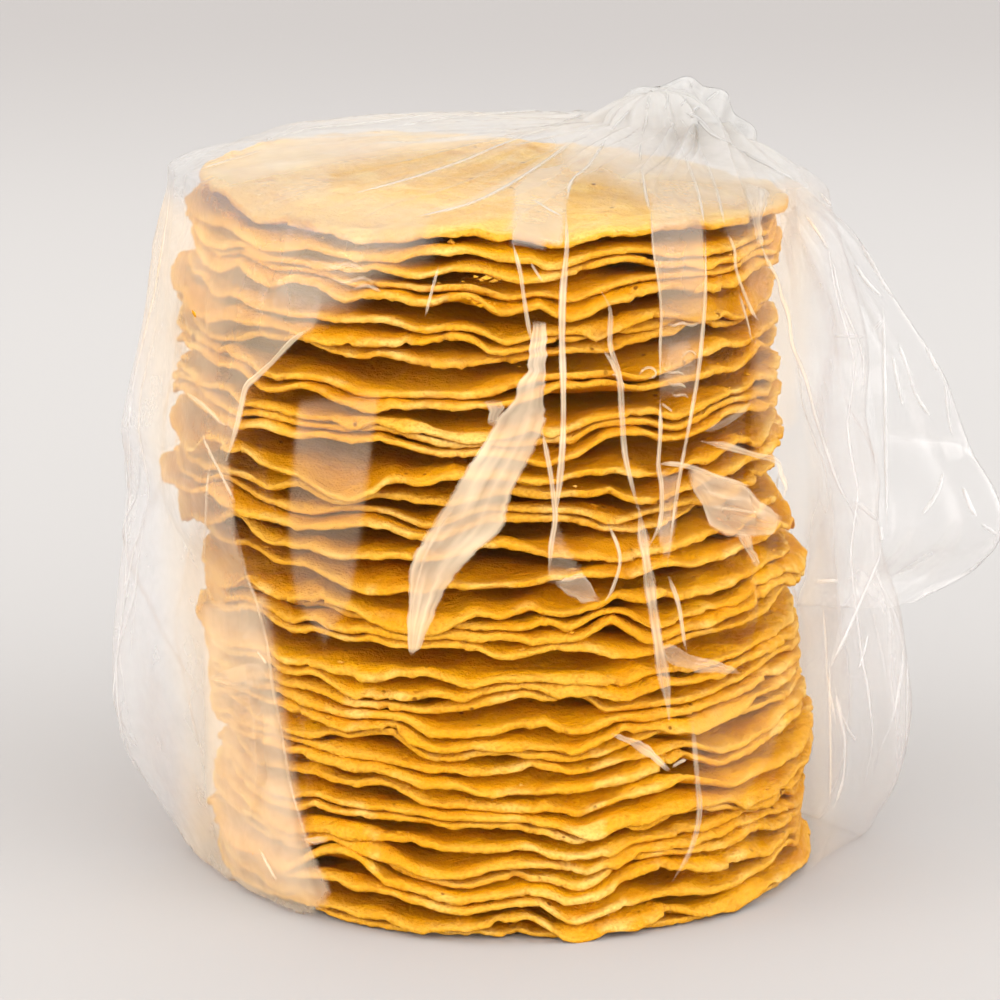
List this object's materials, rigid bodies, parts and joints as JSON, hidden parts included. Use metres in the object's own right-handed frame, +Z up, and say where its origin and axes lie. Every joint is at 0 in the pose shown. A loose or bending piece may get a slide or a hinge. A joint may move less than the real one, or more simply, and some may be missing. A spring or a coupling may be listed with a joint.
{
  "type": "stack of tostadas in a clear bag",
  "caption": "Tall stack of round golden corn tostadas packed in a clear film bag with a gathered neck and loose side flaps.",
  "frame": {"origin": "middle of the flat base, on the axis of the lower half of the stack", "axes": "+Z up the stack, +X towards the side with the wing of spare film, -Y towards the front that the picture shows"},
  "size_m": [0.2044, 0.1393, 0.1747],
  "materials": {
    "film": "clear thin glossy film, wrinkled, with milky veils where it is doubled",
    "tostada": "dry toasted corn, golden yellow, rough and blistered"
  },
  "bodies": {
    "root": {"bag": "film"}
  },
  "joints": []
}
